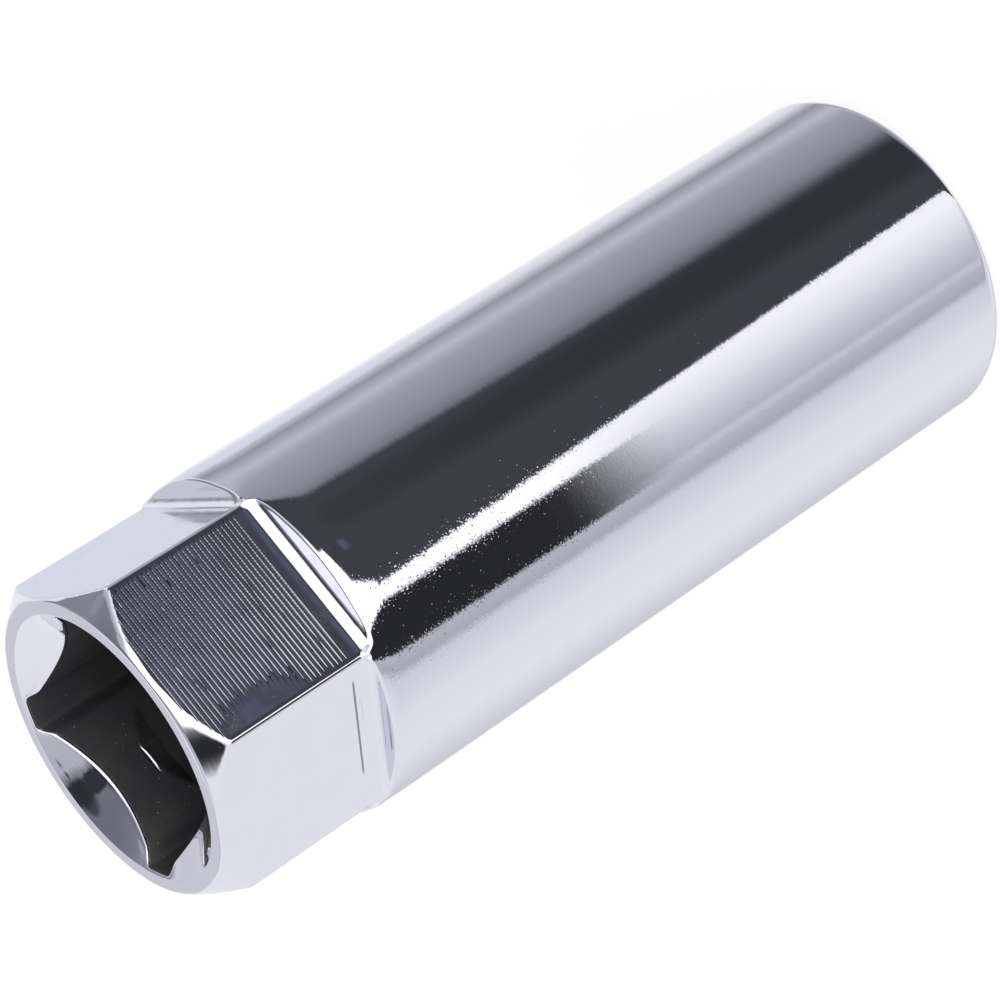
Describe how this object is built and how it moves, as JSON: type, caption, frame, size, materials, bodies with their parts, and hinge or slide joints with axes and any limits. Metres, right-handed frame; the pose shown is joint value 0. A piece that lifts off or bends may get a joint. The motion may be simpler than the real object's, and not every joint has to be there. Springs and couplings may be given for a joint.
{
  "type": "spark plug socket",
  "caption": "Deep chromed socket for spark plugs, with a square drive hole, an outside wrench hexagon at the drive end and a rubber sleeve inside that holds the plug.",
  "frame": {"origin": "centre of the working end's face, on which the socket stands", "axes": "+Z along the barrel's axis, up to the drive end; X and Y square to the flats of the drive square"},
  "size_m": [0.0225, 0.0224, 0.0634],
  "materials": {
    "polished_chrome": "polished chrome plate with fine polishing marks",
    "black_rubber": "matt moulded rubber"
  },
  "bodies": {
    "root": {"socket_body": "polished_chrome", "rubber_holder": "black_rubber"}
  },
  "joints": []
}
